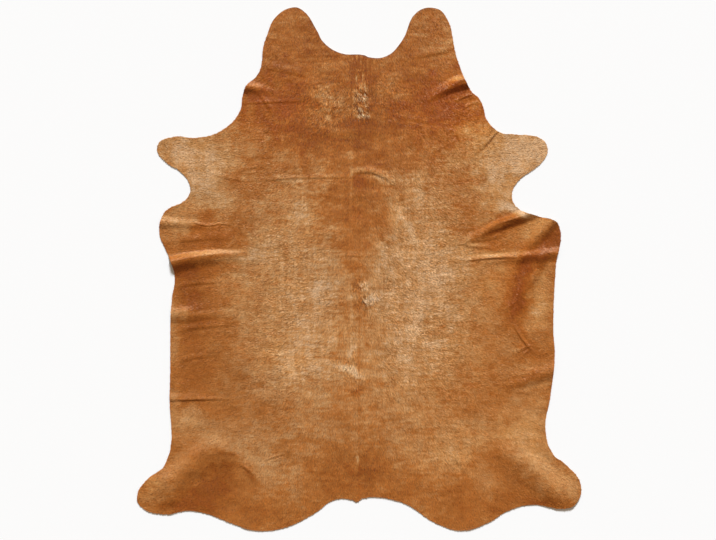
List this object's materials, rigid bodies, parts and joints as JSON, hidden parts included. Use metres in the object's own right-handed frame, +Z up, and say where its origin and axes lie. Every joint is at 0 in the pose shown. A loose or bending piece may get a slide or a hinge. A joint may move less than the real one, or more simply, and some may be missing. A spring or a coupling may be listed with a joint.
{
  "type": "cowhide rug",
  "caption": "Whole hair-on cowhide rug lying flat, in caramel brown, with neck flaps, shanks and rump lobes, rippled along its belly edges.",
  "frame": {"origin": "on the floor under the middle of the hide's length and width", "axes": "+Z up from the floor to the hair side; +Y along the spine from the tail towards the neck; +X to the right of someone at the tail looking at the neck"},
  "size_m": [1.9506, 2.3, 0.0297],
  "materials": {
    "hair_on_hide": "short caramel-brown hair lying flat on tanned leather, dull satin"
  },
  "bodies": {
    "root": {"cowhide": "hair_on_hide"}
  },
  "joints": []
}
